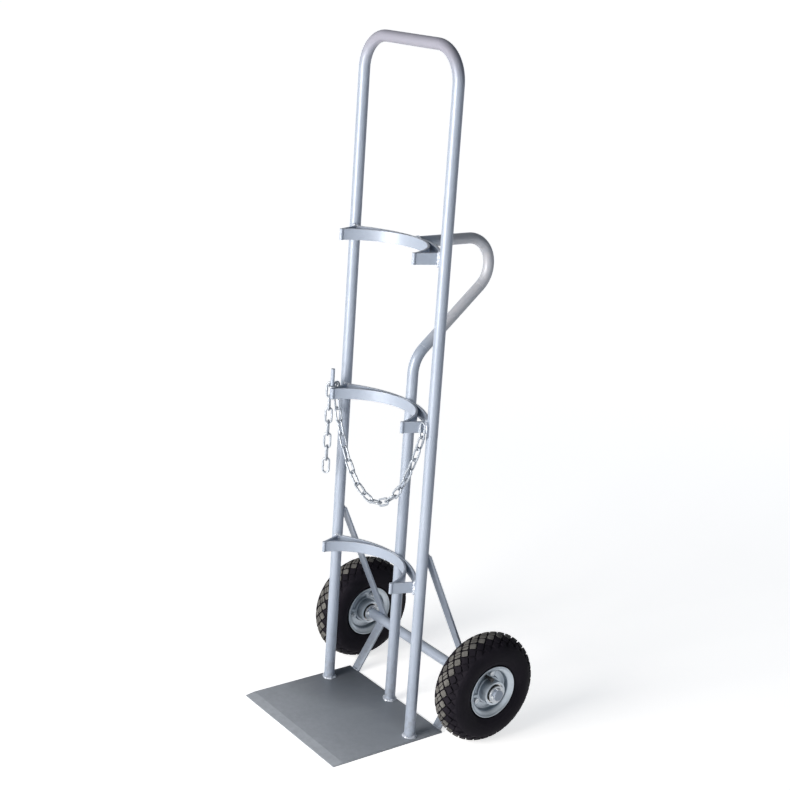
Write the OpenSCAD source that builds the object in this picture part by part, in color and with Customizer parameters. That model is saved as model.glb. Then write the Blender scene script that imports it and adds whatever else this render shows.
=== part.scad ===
// Gas cylinder trolley. Millimetres, Z up, the toe plate points to -Y.
// Origin: on the floor, midway between the two uprights.

/* [Frame] */
// Distance between the centres of the two uprights
upright_spacing = 330; // [310:1:350]
// Height of the top rail's centre line
frame_height = 1550; // [1450:5:1650]
// Outside diameter of the frame tube
tube_d = 25.4; // [24:0.1:27]
// Wall of the frame tube
tube_wall = 2.5; // [1.5:0.1:3.5]
// Centre line radius of the frame bends
bend_r = 75; // [60:1:90]

/* [Toe plate] */
// Width of the toe plate
plate_w = 374; // [366:1:390]
// Distance of the plate's front edge in front of the uprights
plate_front = 225; // [200:1:250]
// Distance of the plate's rear edge behind the uprights
plate_back = 78; // [76:1:88]
// Thickness of the plate
plate_t = 5; // [4:0.5:8]
// Width of the bevel along the front edge
plate_bevel = 25; // [10:1:40]

/* [Cradles] */
// Width of the flat bar
bar_h = 25; // [20:0.5:30]
// Thickness of the flat bar
bar_t = 5; // [4:0.5:6]
// Inside radius of the cradle arcs
arc_r = 135; // [132:1:138]
// Half of the angle that a cradle arc covers
arc_half = 76; // [72:1:80]
// Height of the middle of the top cradle
top_z = 1117; // [1090:1:1140]
// Height of the middle of the middle cradle
mid_z = 748; // [735:1:765]
// Height of the middle of the bottom cradle
low_z = 372; // [355:1:390]

/* [Spine and handle] */
// Distance of the spine tube behind the uprights
spine_y = 64.5; // [60:0.5:68]
// Height where the spine tube starts to bend back
spine_bend_z = 818; // [795:1:840]
// Angle of the handle's sloping run from the vertical
handle_angle = 48.6; // [44:0.1:53]
// Centre line radius of the handle's upper bend
handle_r = 65; // [55:1:75]
// Height of the handle's top run above the middle of the top cradle
handle_rise = 1.5; // [-2:0.5:3]

/* [Axle and braces] */
// Distance of the axle behind the uprights
axle_y = 143; // [140:1:155]
// Diameter of the axle bar
axle_d = 25; // [24:0.5:27]
// Height of the top of the upper braces
brace_top_z = 446; // [430:1:465]
// Width of the brace bars
brace_w = 25; // [20:0.5:28]
// Distance of each wheel's middle plane from the centre
wheel_x = 243; // [240:1:260]

/* [Wheels] */
// Outside diameter of the tyre
tyre_d = 260; // [254:1:266]
// Width of the tyre
tyre_w = 82; // [76:1:84]
// Height of the tread blocks
tread_h = 3.6; // [3:0.1:4]
// Number of tread blocks round the tyre, in each row
tread_n = 31; // [26:1:34]
// Thickness of the tyre at the tread
tyre_wall = 7; // [5:0.5:9]
// Bead seat diameter of the rim
rim_d = 101.6; // [100:0.2:104]
// Distance of the rim lips from the wheel's middle plane
lip_x = 33; // [31:0.5:35]
// Length of the hub
hub_len = 84; // [83:1:90]
// Outside diameter of the hub tube
hub_d = 56; // [54:0.5:60]
// Outside diameter of the ball bearings
bearing_d = 47; // [45:0.5:49]
// Radius of the circle of rim bolts
bolt_circle = 40.5; // [40:0.5:41.5]

/* [Chain] */
// Wire diameter of the chain links
wire_d = 4.5; // [4:0.1:4.8]
// Inside length of a chain link
link_len = 31; // [29:0.5:32]
// Inside width of a chain link
link_w = 10; // [9.8:0.1:10.6]
// How freely the strand sags, larger hangs flatter
strand_curve = 82.7; // [81:0.1:88]
// Number of links in the loose tail below the first one
tail_links = 6; // [3:1:7]
// Diameter of the hook pin
pin_d = 9; // [8:0.1:9.2]
// Height of the hook pin above the middle cradle
pin_rise = 44; // [35:1:60]

/* [Hidden] */
$fn = 72;

// Colours
paint = [0.62, 0.68, 0.76];
dark_paint = [0.40, 0.42, 0.45];
zinc = [0.75, 0.76, 0.78];
steel = [0.70, 0.70, 0.72];
black = [0.06, 0.06, 0.07];

// Frame values
ux = upright_spacing / 2;
tube_r = tube_d / 2;
seat = 0.8;
big = 400;
plate_edge = 1.5;

// Cradle plan: the backing bar lies on the spine, the arc lies on the backing bar
back_r = 240;
back_out_y = spine_y - tube_r + seat;
back_cy = back_out_y - back_r;
arc_out_y = back_out_y - bar_t + 0.6;
arc_cy = arc_out_y - bar_t - arc_r;
tip_x = (arc_r + bar_t / 2) * sin(arc_half);
tip_y = arc_cy + (arc_r + bar_t / 2) * cos(arc_half);
leg_to = [ux - tube_r + 3.7, 1];
leg_len = norm([leg_to[0] - tip_x, leg_to[1] - tip_y]);
leg_ang = atan2(leg_to[1] - tip_y, leg_to[0] - tip_x);
nose_r = bar_t * 0.85;

// Handle path in the middle plane
handle_z = top_z + handle_rise;
bend1 = [spine_y + bend_r, spine_bend_z];
run0 = [spine_y + bend_r * (1 - cos(handle_angle)), spine_bend_z + bend_r * sin(handle_angle)];
run_len = (handle_z - handle_r - handle_r * sin(handle_angle) - run0[1]) / cos(handle_angle);
run1 = [run0[0] + run_len * sin(handle_angle), run0[1] + run_len * cos(handle_angle)];
bend2 = [run1[0] - handle_r * cos(handle_angle), handle_z - handle_r];

// Axle and braces
axle_z = tyre_d / 2;
axle_r = axle_d / 2;
low_v = [axle_y - plate_back, axle_z - plate_t];
low_ang = atan2(low_v[0], low_v[1]) + asin((axle_r - seat) / norm(low_v));
low_len = sqrt(pow(norm(low_v), 2) - pow(axle_r - seat, 2)) + 2;
brace_end = 5;
up_y = tube_r - 1.5;
up_v = [axle_y - up_y, brace_top_z - axle_z];
up_ang = atan2(up_v[0], up_v[1]) + asin((axle_r - seat) / norm(up_v));
up_len = sqrt(pow(norm(up_v), 2) - pow(axle_r - seat, 2)) + 2;

// Wheel values
hub_half = hub_len / 2;
washer_t = 3;
washer_d = bearing_d - 6;
stand_off = 3.5;
shaft_end = 6.5;
tyre_r = tyre_d / 2;
sec_r = tyre_w / 2;
sec_c = tyre_r - sec_r;
rim_r = rim_d / 2;
sheet = 2;
lip_r = rim_r + 12;
web_in = 12;
web_out = 14.5;
pad_out = 19;
pad_r = 16;
collar_w = 4;
collar_out = pad_out + 1.5;
bead_x = lip_x - 7;
roll_r = 2;
lip_c = [lip_r - roll_r, lip_x];
flange_d = (lip_c - [rim_r, bead_x]) / norm(lip_c - [rim_r, bead_x]);
flange_a = lip_c + 0.9 * [flange_d[1], -flange_d[0]];
flange_b = lip_c - 0.9 * [flange_d[1], -flange_d[0]];
tube_x = 13;
bearing_w = 12;
bearing_in = 3;
ball_c = (axle_d + bearing_d) / 4;
neck_d = 2 * (ball_c - 2.2) - 0.6;
ball_r = 3.2;
bolt_d = 6;
head_h = 4;
nut_h = 5;
valve_a = 107;
valve_r = 38;
valve_d = 7;
valve_x = 7;
cap_x = 30;
cap_len = 11;
hub_step = 2;
near_turn = 86;
far_turn = 70;

// Tread: staggered rows of diamond blocks on a lower crown
tread_step = 16;
tread_x = 0.76 * sec_r * tread_step * PI / 180;
tread_y = 0.76 * PI * tyre_r / tread_n;
tread_sink = 1.2;
tread_drop = 0.6;
shoulder = sec_r * cos(3.5 * tread_step);
near_tread = 113.7;
far_tread = 108;

// Chain values
link_r = (link_w + wire_d) / 2;
link_half = (link_len - link_w) / 2;
end_wire = link_half + link_r;
slack = 0.5;
step_half = end_wire - (wire_d + slack) / 2;
leg_u = [-cos(leg_ang), sin(leg_ang)];
leg_n = [-sin(leg_ang), -cos(leg_ang)];
pin_along = 6.5;
weld_sink = 0.4;
pin_xy = [-tip_x, tip_y] + pin_along * leg_u + (bar_t / 2 + pin_d / 2 - weld_sink) * leg_n;
hook_turn = 24;
hook_ang = 180 - leg_ang + hook_turn;
hook_u = [cos(hook_ang), sin(hook_ang)];
hook_n = [-sin(hook_ang), cos(hook_ang)];
hook_z = mid_z + bar_h / 2 + wire_d / 2;
pin_play = 0.25;
hook_front = pin_xy + pin_play * hook_u;
hook_rear = hook_front + 2 * link_half * hook_u;
link_gap = 0.05;
drop_z = hook_z + wire_d + link_gap - end_wire;
first_xy = hook_rear + [0, link_r];
tail_along = 14;
tail_xy = hook_front + tail_along * hook_u + link_r * hook_n;
anchor_along = 40;
anchor_sink = 0.3;
anchor_drop = 5;
anchor_xy = [tip_x, tip_y] + anchor_along * [cos(leg_ang), sin(leg_ang)]
  + (bar_t / 2 + wire_d / 2 - anchor_sink) * [sin(leg_ang), -cos(leg_ang)] + [link_r, 0];
anchor_z = mid_z - anchor_drop;
strand_a = [first_xy[0], first_xy[1], drop_z - end_wire + (wire_d + slack) / 2];
strand_b = [anchor_xy[0], anchor_xy[1], anchor_z - end_wire + (wire_d + slack) / 2];
span = norm([strand_b[0] - strand_a[0], strand_b[1] - strand_a[1]]);
strand_ang = atan2(strand_b[1] - strand_a[1], strand_b[0] - strand_a[0]);
function sinh(x) = (exp(x) - exp(-x)) / 2;
function cosh(x) = (exp(x) + exp(-x)) / 2;
function asinh(x) = ln(x + sqrt(x * x + 1));
end_rise = (strand_b[2] - strand_a[2]) / (2 * strand_curve * sinh(span / (2 * strand_curve)));
low_s = span / 2 - strand_curve * asinh(end_rise);
strand_len = strand_curve * (sinh((span - low_s) / strand_curve) + sinh(low_s / strand_curve));
strand_n = 2 * ceil(strand_len / (4 * step_half) - 0.02);
function at_len(l) = low_s + strand_curve * asinh(l / strand_curve - sinh(low_s / strand_curve));
function sag(s) = strand_a[2]
  + strand_curve * (cosh((s - low_s) / strand_curve) - cosh(low_s / strand_curve));
function joint_at(i) = [at_len(strand_len * i / strand_n), sag(at_len(strand_len * i / strand_n))];

// Shared forms

// A body profile drawn as [Y, Z], extruded along X about the middle
module along_x(w) {
  rotate([90, 0, 90])
    linear_extrude(height = w, center = true)
      children();
}

// A bend of the tube, turning from X towards Y
module bend(r, a, d) {
  rotate_extrude(angle = a)
    translate([r, 0])
      circle(d = d);
}

// The inverted U, as a solid rod of one diameter
module frame_rod(d, below) {
  side = ux - bend_r;
  up = frame_height - bend_r - plate_t;
  translate([-ux, 0, plate_t - below])
    cylinder(d = d, h = up + below);
  translate([ux, 0, plate_t - below])
    cylinder(d = d, h = up + below);
  translate([side, 0, frame_height - bend_r])
    rotate([90, 0, 0])
      bend(bend_r, 90, d);
  translate([-side, 0, frame_height - bend_r])
    rotate([90, 0, 180])
      bend(bend_r, 90, d);
  translate([-side, 0, frame_height])
    rotate([0, 90, 0])
      cylinder(d = d, h = 2 * side);
}

// The spine up to the end of its bend, as a solid rod
module spine_rod(d, more) {
  translate([0, spine_y, plate_t - more])
    cylinder(d = d, h = spine_bend_z - plate_t + more);
  translate([0, bend1[0], bend1[1]])
    rotate([90, 0, -90])
      bend(bend_r, handle_angle + more, d);
}

// The handle's upper bend and its top run, as a solid rod
module grip_rod(d, more) {
  translate([0, bend2[0], bend2[1]]) {
    rotate([0, -90, 0])
      bend(handle_r, 90 + handle_angle + more, d);
    translate([0, 0, handle_r])
      rotate([90, 0, 0])
        cylinder(d = d, h = bend2[0] - back_out_y + 4 + more);
  }
}

// Plan of the wedge that an arc covers
module wedge(r, a) {
  polygon([[0, 0], [-2 * r * sin(a), 2 * r * cos(a)], [-2 * r, 2 * r], [2 * r, 2 * r],
    [2 * r * sin(a), 2 * r * cos(a)]]);
}

// Plan of one straight leg of a cradle, from the folded tip to the upright
module leg_plan(side) {
  translate([side * tip_x, tip_y])
    rotate(side > 0 ? leg_ang : 180 - leg_ang)
      translate([0, -bar_t / 2])
        square([leg_len, bar_t]);
}

// Plan of one leg and of all that lies on its outer side
module leg_side(side) {
  translate([side * tip_x, tip_y])
    rotate(side > 0 ? leg_ang : 180 - leg_ang)
      translate([-big / 2, side > 0 ? bar_t / 2 - big : -bar_t / 2])
        square([big, big]);
}

// Plan of the two uprights
module upright_plan() {
  for (s = [-1, 1])
    translate([s * ux, 0])
      circle(d = tube_d);
}

// A cradle: the arc, its two folded tips and its two legs
module cradle(z) {
  translate([0, 0, z - bar_h / 2])
    linear_extrude(height = bar_h)
      difference() {
        union() {
          translate([0, arc_cy])
            intersection() {
              difference() {
                circle(r = arc_r + bar_t);
                circle(r = arc_r);
              }
              wedge(arc_r, arc_half);
            }
          for (s = [-1, 1]) {
            leg_plan(s);
            translate([s * tip_x, tip_y])
              circle(r = nose_r);
          }
        }
        upright_plan();
      }
}

// A backing bar: a shallow arc from upright to upright behind the cradle
module backing(z, on_spine) {
  translate([0, 0, z - bar_h / 2])
    linear_extrude(height = bar_h)
      difference() {
        intersection() {
          translate([0, back_cy])
            difference() {
              circle(r = back_r);
              circle(r = back_r - bar_t);
            }
          translate([-ux, -big / 2])
            square([2 * ux, big]);
        }
        translate([0, arc_cy])
          circle(r = arc_r + bar_t);
        upright_plan();
        leg_side(-1);
        leg_side(1);
        if (on_spine)
          translate([0, spine_y])
            circle(d = tube_d);
      }
}

// The axle's outside, used to seat the braces on it
module axle_rod(l) {
  translate([0, axle_y, axle_z])
    rotate([0, 90, 0])
      cylinder(d = axle_d, h = l, center = true);
}

// A brace from the back of an upright down to the axle
module upper_brace(side) {
  difference() {
    translate([side * ux, up_y, brace_top_z])
      rotate([up_ang, 0, 0])
        translate([-brace_w / 2, 0, -up_len])
          cube([brace_w, bar_t, up_len + 3 * brace_end]);
    translate([side * ux, 0, brace_top_z - big / 2])
      cylinder(d = tube_d, h = big);
    translate([side * ux - big / 2, -big / 2, brace_top_z + brace_end])
      cube([big, big, big]);
    axle_rod(big * 2);
  }
}

// A brace from the axle down to the rear edge of the plate
module lower_brace(side) {
  difference() {
    translate([side * ux, plate_back, plate_t])
      rotate([-low_ang, 0, 0])
        translate([-brace_w / 2, 0, -4 * plate_t])
          cube([brace_w, bar_t, low_len + 4 * plate_t]);
    translate([side * ux - big / 2, plate_back - big, -big])
      cube([big, big, big + plate_t]);
    translate([side * ux - big / 2, plate_back - big / 2, -big])
      cube([big, big, big]);
    axle_rod(big * 2);
  }
}

// One chain link, long along Z, wide along X
module link() {
  for (s = [-1, 1])
    translate([s * link_r, 0, -link_half])
      cylinder(d = wire_d, h = 2 * link_half);
  translate([0, 0, link_half])
    rotate([90, 0, 0])
      rotate_extrude(angle = 180)
        translate([link_r, 0])
          circle(d = wire_d);
  translate([0, 0, -link_half])
    rotate([90, 0, 0])
      rotate([0, 0, 180])
        rotate_extrude(angle = 180)
          translate([link_r, 0])
            circle(d = wire_d);
}

// Wheel forms: each is drawn round the X axis, with the wheel's middle plane at X = 0
module round_x() {
  rotate([0, 90, 0])
    rotate_extrude()
      children();
}

// Places a piece at an angle round the wheel, local X along the axle and local Z outwards
module spoke(a) {
  rotate([a - 90, 0, 0])
    children();
}

// Puts a wheel's piece on the left or the right end of the axle
module on_axle(side) {
  translate([side * wheel_x, axle_y, axle_z])
    if (side < 0)
      mirror([1, 0, 0])
        children();
    else
      children();
}

// Section of the space inside the tyre, which the inner tube fills
module tube_section(w) {
  translate([sec_c + 1, 0])
    circle(r = sec_r - tyre_wall - w);
  translate([rim_r + w, -tube_x + w])
    square([sec_c - rim_r - w, 2 * (tube_x - w)]);
}

// Section of one half of the rim, lip at positive Y: bead seat, flange and rolled lip
module rim_section() {
  polygon([[rim_r - sheet, 0], [rim_r, 0], [rim_r, bead_x], flange_a, flange_b,
    [rim_r - sheet, bead_x + 0.4 * sheet]]);
  translate(lip_c)
    circle(r = roll_r);
}

// Section of everything that the tyre has to leave to the rim
module rim_room() {
  for (s = [0, 1])
    mirror([0, s]) {
      polygon([[0, -1], [rim_r, -1], [rim_r, bead_x], flange_a, [flange_a[0], 100], [0, 100]]);
      translate(lip_c)
        circle(r = roll_r);
    }
}

// One tread block, its top flat, on the crown at an angle round the wheel and across the section
module tread_block(turn, across) {
  spoke(turn)
    translate([0, 0, sec_c])
      rotate([0, across, 0])
        translate([0, 0, sec_r - tread_h - tread_sink])
          linear_extrude(height = tread_h + tread_sink - tread_drop)
            polygon([[-tread_x, 0], [0, -tread_y], [tread_x, 0], [0, tread_y]]);
}

module tyre(turn) {
  union() {
    round_x()
      difference() {
        union() {
          translate([sec_c, 0])
            circle(r = sec_r - tread_h);
          intersection() {
            translate([sec_c, 0])
              circle(r = sec_r);
            translate([0, -big / 2])
              square([sec_c + shoulder, big]);
          }
          translate([rim_r, -bead_x - 3.4])
            square([22, 2 * (bead_x + 3.4)]);
        }
        rim_room();
        tube_section(0);
      }
    for (row = [-2:2])
      for (i = [0:tread_n - 1])
        tread_block(turn + (i + (row % 2 == 0 ? 0.5 : 0)) * 360 / tread_n, row * tread_step);
  }
}

module inner_tube() {
  round_x()
    difference() {
      tube_section(0);
      tube_section(2);
    }
}

// One half of the rim: lip, bead seat, web, hub collar and three bolt pads
module rim_half(turn, valve) {
  difference() {
    union() {
      round_x() {
        rim_section();
        translate([hub_d / 2, web_in])
          square([rim_r - 1 - hub_d / 2, web_out - web_in]);
        translate([hub_d / 2, web_in])
          square([collar_w, collar_out - web_in]);
      }
      intersection() {
        for (i = [0:2])
          spoke(turn + 120 * i)
            translate([web_in + 1, 0, bolt_circle])
              rotate([0, 90, 0])
                cylinder(r = pad_r, h = pad_out - web_in - 1);
        round_x()
          translate([hub_d / 2 + collar_w / 2, 0])
            square([rim_r - 1 - hub_d / 2 - collar_w / 2, 60]);
      }
    }
    for (i = [0:2])
      spoke(turn + 120 * i)
        translate([0, 0, bolt_circle])
          rotate([0, 90, 0])
            cylinder(d = bolt_d + 0.4, h = 60);
    if (valve)
      spoke(valve_a) {
        translate([0, 0, valve_r])
          rotate([0, 90, 0])
            cylinder(d = valve_d + 0.6, h = 60);
        translate([valve_x, 0, valve_r])
          cylinder(d = valve_d + 0.6, h = 30);
      }
  }
}

module hub() {
  seat_x = hub_half - bearing_in - bearing_w;
  seat_r = bearing_d / 2 - hub_step;
  round_x()
    polygon([[hub_d / 2, -hub_half], [hub_d / 2, hub_half], [bearing_d / 2, hub_half],
      [bearing_d / 2, seat_x], [seat_r, seat_x], [seat_r, -seat_x], [bearing_d / 2, -seat_x],
      [bearing_d / 2, -hub_half]]);
}

// Places a bearing's piece at both ends of the hub
module both_bearings() {
  for (s = [-1, 1])
    translate([s * (hub_half - bearing_in - bearing_w / 2), 0, 0])
      children();
}

module bearing_outer() {
  both_bearings()
    round_x()
      difference() {
        translate([ball_c + 2.2, -bearing_w / 2])
          square([bearing_d / 2 - ball_c - 2.2, bearing_w]);
        translate([ball_c - 0.1, 0])
          circle(r = ball_r + 0.1);
        for (s = [0, 1])
          mirror([0, s])
            translate([ball_c + 2, bearing_w / 2 - 1.2])
              square([0.7, 2]);
      }
}

module bearing_inner() {
  both_bearings()
    round_x()
      difference() {
        translate([axle_r, -bearing_w / 2])
          square([ball_c - 2.2 - axle_r, bearing_w]);
        translate([ball_c, 0])
          circle(r = ball_r + 0.35);
      }
}

module bearing_balls() {
  both_bearings()
    for (i = [0:8])
      rotate([40 * i, 0, 0])
        translate([0, 0, ball_c])
          sphere(r = ball_r);
}

module bearing_seals() {
  for (s = [-1, 1])
    translate([s * (hub_half - bearing_in - 0.6), 0, 0])
      round_x()
        translate([ball_c - 1.8, -0.6])
          square([4.5, 1.2]);
}

module rim_bolts(turn) {
  for (i = [0:2])
    spoke(turn + 120 * i)
      translate([0, 0, bolt_circle])
        rotate([0, 90, 0]) {
          translate([0, 0, pad_out])
            cylinder(d = bolt_d * 1.92, h = head_h, $fn = 6);
          translate([0, 0, -pad_out - nut_h - 4])
            cylinder(d = bolt_d, h = 2 * pad_out + nut_h + 4);
        }
}

module rim_nuts(turn) {
  for (i = [0:2])
    spoke(turn + 120 * i)
      translate([-pad_out - nut_h, 0, bolt_circle])
        rotate([0, 90, 0])
          difference() {
            cylinder(d = bolt_d * 1.92, h = nut_h, $fn = 6);
            translate([0, 0, -1])
              cylinder(d = bolt_d, h = nut_h + 2);
          }
}

module valve_stem() {
  spoke(valve_a) {
    intersection() {
      translate([valve_x, 0, valve_r])
        cylinder(d = valve_d, h = 40);
      round_x()
        translate([0, -20])
          square([rim_r, 40]);
    }
    translate([valve_x, 0, valve_r])
      sphere(d = valve_d);
    translate([valve_x, 0, valve_r])
      rotate([0, 90, 0])
        cylinder(d = valve_d, h = cap_x - valve_x);
    translate([cap_x, 0, valve_r])
      rotate([0, 90, 0])
        cylinder(d = valve_d - 2, h = cap_len - 3);
  }
}

module valve_cap() {
  spoke(valve_a)
    translate([cap_x, 0, valve_r])
      rotate([0, 90, 0])
        difference() {
          cylinder(d = valve_d + 3, h = cap_len);
          translate([0, 0, -1])
            cylinder(d = valve_d - 2, h = cap_len - 2);
        }
}

// Nodes of the fixed frame

module base_plate() {
  color(dark_paint)
    along_x(plate_w)
      polygon([[-plate_front, 0], [plate_back, 0], [plate_back, plate_t],
        [-plate_front + plate_bevel, plate_t], [-plate_front, plate_edge]]);
}

module front_frame() {
  color(paint)
    difference() {
      frame_rod(tube_d, 0);
      frame_rod(tube_d - 2 * tube_wall, 1);
    }
}

module spine_tube() {
  color(paint)
    difference() {
      spine_rod(tube_d, 0);
      spine_rod(tube_d - 2 * tube_wall, 1);
    }
}

module handle_slope() {
  color(paint)
    translate([0, run0[0], run0[1]])
      rotate([-handle_angle, 0, 0])
        difference() {
          cylinder(d = tube_d, h = run_len);
          translate([0, 0, -1])
            cylinder(d = tube_d - 2 * tube_wall, h = run_len + 2);
        }
}

module handle_grip() {
  color(paint)
    difference() {
      grip_rod(tube_d, 0);
      grip_rod(tube_d - 2 * tube_wall, 1);
      translate([0, back_cy, handle_z - 30])
        cylinder(r = back_r, h = 60);
    }
}

module top_cradle() {
  color(paint)
    cradle(top_z);
}

module middle_cradle() {
  color(paint)
    cradle(mid_z);
}

module bottom_cradle() {
  color(paint)
    cradle(low_z);
}

module top_backing() {
  color(paint)
    backing(top_z, false);
}

module middle_backing() {
  color(paint)
    backing(mid_z, true);
}

module bottom_backing() {
  color(paint)
    backing(low_z, true);
}

module axle() {
  reach = wheel_x + hub_half + stand_off + washer_t + shaft_end;
  color(paint)
    axle_rod(2 * reach);
}

module upper_brace_left() {
  color(paint)
    upper_brace(-1);
}

module upper_brace_right() {
  color(paint)
    upper_brace(1);
}

module lower_brace_left() {
  color(paint)
    lower_brace(-1);
}

module lower_brace_right() {
  color(paint)
    lower_brace(1);
}

module hook_pin() {
  color(paint)
    difference() {
      translate([pin_xy[0], pin_xy[1], mid_z - bar_h / 2 + 2])
        cylinder(d = pin_d, h = bar_h - 2 + pin_rise);
      translate([0, 0, mid_z - bar_h / 2])
        linear_extrude(height = bar_h)
          leg_plan(-1);
    }
}

// A washer on the axle with a neck that reaches the bearing's inner ring, at one end of a hub
module washer(side, end) {
  neck = bearing_in + stand_off;
  translate([side * wheel_x, axle_y, axle_z])
    rotate([0, end * 90, 0])
      translate([0, 0, hub_half - bearing_in])
        difference() {
          union() {
            cylinder(d = neck_d, h = neck);
            translate([0, 0, neck])
              cylinder(d = washer_d, h = washer_t);
          }
          translate([0, 0, -1])
            cylinder(d = axle_d, h = neck + washer_t + 2);
        }
}

module inner_washers() {
  color(zinc) {
    washer(-1, 1);
    washer(1, -1);
  }
}

module outer_washers() {
  color(zinc) {
    washer(-1, -1);
    washer(1, 1);
  }
}

module bearing_inner_rings() {
  color(steel)
    for (s = [-1, 1])
      on_axle(s)
        bearing_inner();
}

module chain_anchor_link() {
  color(zinc)
    difference() {
      translate([anchor_xy[0], anchor_xy[1], anchor_z])
        link();
      translate([0, 0, mid_z - bar_h / 2])
        linear_extrude(height = bar_h)
          leg_plan(1);
    }
}

module chain_hooked_links() {
  flat = (hook_front + hook_rear) / 2;
  color(zinc) {
    translate([flat[0], flat[1], hook_z])
      rotate([0, 0, hook_ang])
        rotate([0, 90, 0])
          rotate([0, 0, 90])
            link();
    translate([first_xy[0], first_xy[1], drop_z])
      rotate([0, 0, 90])
        link();
    translate([tail_xy[0], tail_xy[1], drop_z])
      rotate([0, 0, hook_ang + 90])
        link();
  }
}

// The sagging strand: every second link is turned a quarter turn
module chain_strand() {
  color(zinc)
    translate([strand_a[0], strand_a[1], 0])
      rotate([0, 0, strand_ang])
        for (i = [0:strand_n - 1]) {
          p = joint_at(i);
          q = joint_at(i + 1);
          translate([(p[0] + q[0]) / 2, 0, (p[1] + q[1]) / 2])
            rotate([0, atan2(q[0] - p[0], q[1] - p[1]), 0])
              rotate([0, 0, i % 2 == 0 ? 0 : 90])
                link();
        }
}

// The loose tail below the hooked link
module chain_tail() {
  color(zinc)
    for (i = [0:tail_links - 1])
      translate([tail_xy[0], tail_xy[1], drop_z - 2 * step_half * (i + 1)])
        rotate([0, 0, hook_ang + (i % 2 == 0 ? 0 : 90)])
          link();
}

// Nodes of the left wheel

module tyre_left() {
  color(black)
    on_axle(-1)
      tyre(far_tread);
}

module inner_tube_left() {
  color(black)
    on_axle(-1)
      inner_tube();
}

module rim_outer_left() {
  color(zinc)
    on_axle(-1)
      rim_half(far_turn, true);
}

module rim_inner_left() {
  color(zinc)
    on_axle(-1)
      mirror([1, 0, 0])
        rim_half(far_turn, false);
}

module hub_left() {
  color(zinc)
    on_axle(-1)
      hub();
}

module bearing_outer_rings_left() {
  color(steel)
    on_axle(-1)
      bearing_outer();
}

module bearing_balls_left() {
  color(steel)
    on_axle(-1)
      bearing_balls();
}

module bearing_seals_left() {
  color(black)
    on_axle(-1)
      bearing_seals();
}

module rim_bolts_left() {
  color(zinc)
    on_axle(-1)
      rim_bolts(far_turn);
}

module rim_nuts_left() {
  color(zinc)
    on_axle(-1)
      rim_nuts(far_turn);
}

module valve_stem_left() {
  color(black)
    on_axle(-1)
      valve_stem();
}

module valve_cap_left() {
  color(black)
    on_axle(-1)
      valve_cap();
}

// Nodes of the right wheel

module tyre_right() {
  color(black)
    on_axle(1)
      tyre(near_tread);
}

module inner_tube_right() {
  color(black)
    on_axle(1)
      inner_tube();
}

module rim_outer_right() {
  color(zinc)
    on_axle(1)
      rim_half(near_turn, true);
}

module rim_inner_right() {
  color(zinc)
    on_axle(1)
      mirror([1, 0, 0])
        rim_half(near_turn, false);
}

module hub_right() {
  color(zinc)
    on_axle(1)
      hub();
}

module bearing_outer_rings_right() {
  color(steel)
    on_axle(1)
      bearing_outer();
}

module bearing_balls_right() {
  color(steel)
    on_axle(1)
      bearing_balls();
}

module bearing_seals_right() {
  color(black)
    on_axle(1)
      bearing_seals();
}

module rim_bolts_right() {
  color(zinc)
    on_axle(1)
      rim_bolts(near_turn);
}

module rim_nuts_right() {
  color(zinc)
    on_axle(1)
      rim_nuts(near_turn);
}

module valve_stem_right() {
  color(black)
    on_axle(1)
      valve_stem();
}

module valve_cap_right() {
  color(black)
    on_axle(1)
      valve_cap();
}

base_plate();
front_frame();
spine_tube();
handle_slope();
handle_grip();
top_cradle();
middle_cradle();
bottom_cradle();
top_backing();
middle_backing();
bottom_backing();
axle();
upper_brace_left();
upper_brace_right();
lower_brace_left();
lower_brace_right();
hook_pin();
inner_washers();
outer_washers();
bearing_inner_rings();
chain_anchor_link();
chain_hooked_links();
chain_strand();
chain_tail();
tyre_left();
inner_tube_left();
rim_outer_left();
rim_inner_left();
hub_left();
bearing_outer_rings_left();
bearing_balls_left();
bearing_seals_left();
rim_bolts_left();
rim_nuts_left();
valve_stem_left();
valve_cap_left();
tyre_right();
inner_tube_right();
rim_outer_right();
rim_inner_right();
hub_right();
bearing_outer_rings_right();
bearing_balls_right();
bearing_seals_right();
rim_bolts_right();
rim_nuts_right();
valve_stem_right();
valve_cap_right();
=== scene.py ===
import math
import random
import bpy
from mathutils import Matrix, Vector


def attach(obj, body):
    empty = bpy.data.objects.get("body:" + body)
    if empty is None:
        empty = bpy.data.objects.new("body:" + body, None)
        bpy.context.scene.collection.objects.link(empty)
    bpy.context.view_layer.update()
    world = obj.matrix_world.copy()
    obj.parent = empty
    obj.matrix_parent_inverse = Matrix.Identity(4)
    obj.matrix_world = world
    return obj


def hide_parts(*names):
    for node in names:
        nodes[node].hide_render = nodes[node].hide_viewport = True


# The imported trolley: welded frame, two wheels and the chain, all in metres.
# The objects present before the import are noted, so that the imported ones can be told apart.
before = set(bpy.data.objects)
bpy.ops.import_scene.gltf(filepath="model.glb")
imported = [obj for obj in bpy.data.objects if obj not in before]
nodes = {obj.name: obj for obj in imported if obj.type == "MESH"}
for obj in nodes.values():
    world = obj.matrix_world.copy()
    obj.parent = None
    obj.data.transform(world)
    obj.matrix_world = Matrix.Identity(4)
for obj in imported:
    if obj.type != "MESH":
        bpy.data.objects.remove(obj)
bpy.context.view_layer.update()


# Toe plate: 5 mm hot rolled sheet with its front edge ground to a wedge, brushed with a
# darker grey paint than the tubes. Cylinders dragged over it leave faint long scuffs. Its front
# half is painted lighter, a painted light, and its rear left corner darkest, a painted shade.
def put(tree, kind, inputs=None, **props):
    node = tree.nodes.new(kind)
    for key, value in props.items():
        setattr(node, key, value)
    for key, value in (inputs or {}).items():
        if isinstance(value, bpy.types.NodeSocket):
            tree.links.new(value, node.inputs[key])
        else:
            node.inputs[key].default_value = value
    return node


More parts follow.
